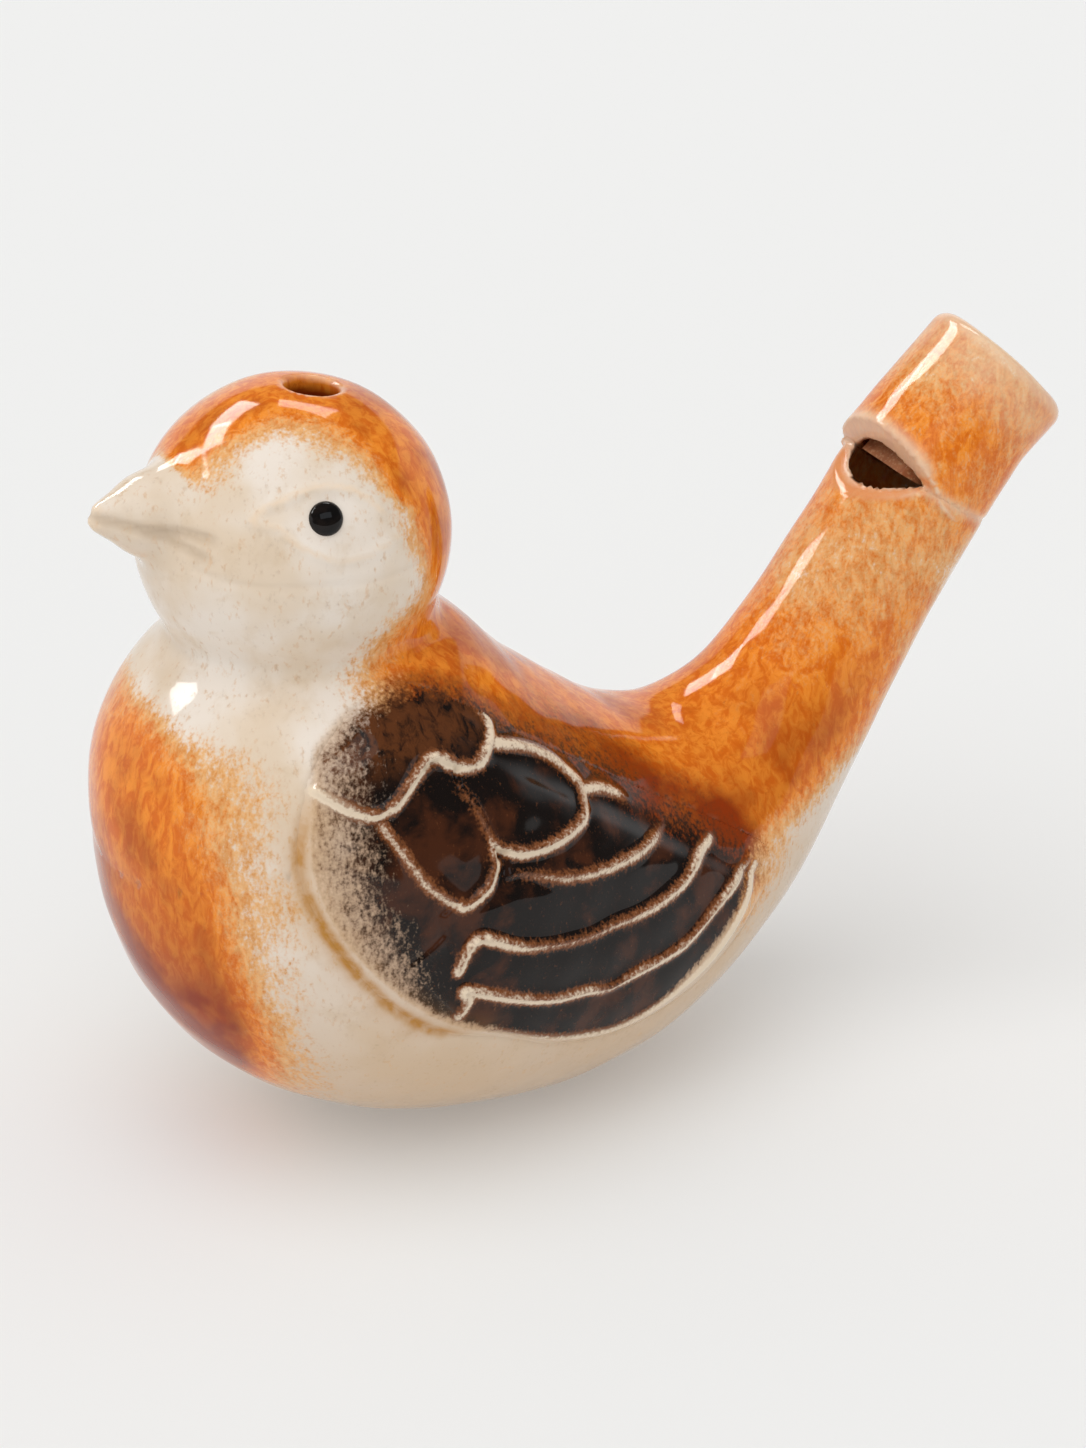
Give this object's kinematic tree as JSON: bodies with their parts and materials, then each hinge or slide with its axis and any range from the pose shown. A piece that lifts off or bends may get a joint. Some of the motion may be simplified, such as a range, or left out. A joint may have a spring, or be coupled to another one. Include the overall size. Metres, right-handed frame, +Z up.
{
  "type": "water whistle",
  "caption": "Hollow glazed ceramic bird that holds water, with a filling hole in its crown and a whistle window and mouthpiece on its tail.",
  "frame": {"origin": "middle of the flat foot under the belly, on the seam plane", "axes": "+Z up; the bird looks along -X and the tail and mouthpiece point to +X; the left flank faces -Y"},
  "size_m": [0.0896, 0.0408, 0.0673],
  "materials": {
    "body_glaze": "clear gloss glaze over orange and cream airbrushed colour",
    "wing_glaze": "dark brown gloss glaze that breaks to cream on the raised feather edges",
    "mouthpiece_glaze": "clear gloss glaze over mottled orange",
    "bare_clay": "unglazed fired clay",
    "eye_glaze": "black gloss glaze bead"
  },
  "bodies": {
    "root": {"body_left_half": "body_glaze", "body_right_half": "body_glaze", "wing_left": "wing_glaze", "wing_right": "wing_glaze", "mouthpiece": "mouthpiece_glaze", "windway_block": "bare_clay", "eye_left": "eye_glaze", "eye_right": "eye_glaze"}
  },
  "joints": []
}
